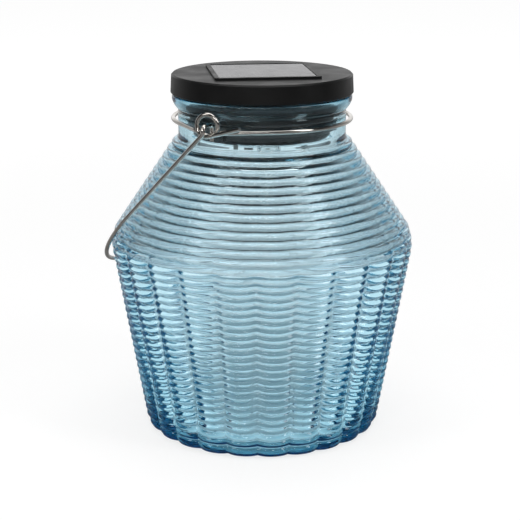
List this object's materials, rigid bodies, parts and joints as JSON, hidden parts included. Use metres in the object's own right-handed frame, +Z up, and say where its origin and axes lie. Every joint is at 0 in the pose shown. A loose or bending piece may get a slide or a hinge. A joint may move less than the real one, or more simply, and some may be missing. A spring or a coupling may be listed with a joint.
{
  "type": "solar jar lantern",
  "caption": "Blue ribbed glass jar lantern with a wire bail in a neck ring and a lift-off black lid that carries a solar panel, rechargeable cell, light and slide switch.",
  "frame": {"origin": "centre of the ring the jar stands on, at the table's level", "axes": "+Z up along the jar's axis; the side seen in the picture faces -Y; +X to the picture's right"},
  "size_m": [0.1429, 0.1392, 0.166],
  "materials": {
    "blue_glass": "clear, tinted blue, moulded beads",
    "steel_wire": "bright drawn wire",
    "black_plastic": "satin moulded",
    "silicone": "soft matt",
    "foam_tape": "foam",
    "circuit_resin": "solder mask",
    "silicon": "blue-black silicon",
    "clear_cover": "clear",
    "screw_steel": "plated",
    "contact_metal": "nickel plated strip",
    "cell_sleeve": "plain shrink sleeve",
    "chip_resin": "moulded resin",
    "red_lead": "insulated",
    "black_lead": "insulated"
  },
  "bodies": {
    "jar": {"glass_jar": "blue_glass"},
    "ring": {"neck_ring": "steel_wire"},
    "bail": {"bail_handle": "steel_wire"},
    "lid": {"lid_cap": "black_plastic", "panel_tape": "foam_tape", "panel_board": "circuit_resin", "solar_cells": "silicon", "panel_cover": "clear_cover", "plug_housing": "black_plastic", "sealing_ring": "silicone", "housing_screws": "screw_steel", "battery_door": "black_plastic", "door_screws": "screw_steel", "battery_cell": "cell_sleeve", "contact_positive": "contact_metal", "contact_negative": "contact_metal", "circuit_board": "circuit_resin", "board_screws": "screw_steel", "driver_chip": "chip_resin", "boost_inductor": "chip_resin", "led": "clear_cover", "led_lens": "clear_cover", "switch_body": "screw_steel", "panel_lead_red": "red_lead", "panel_lead_black": "black_lead", "battery_lead_red": "red_lead", "battery_lead_black": "black_lead"},
    "switch": {"switch_slider": "black_plastic"}
  },
  "joints": [
    {"name": "ring_swivel", "type": "hinge", "parent": "jar", "child": "ring", "pos_m": [0, 0, 0.1447], "axis": [0, 0, 1], "continuous": true},
    {"name": "bail_swing", "type": "hinge", "parent": "ring", "child": "bail", "pos_m": [0, 0, 0.14768], "axis": [0.5075, 0.8616, 0], "range_deg": [0, 275]},
    {"name": "lid_lift", "type": "slide", "parent": "jar", "child": "lid", "axis": [0, 0, 1], "range_m": [0, 0.06]},
    {"name": "switch_slide", "type": "slide", "parent": "lid", "child": "switch", "axis": [1, 0, 0], "range_m": [0, 0.002]}
  ]
}
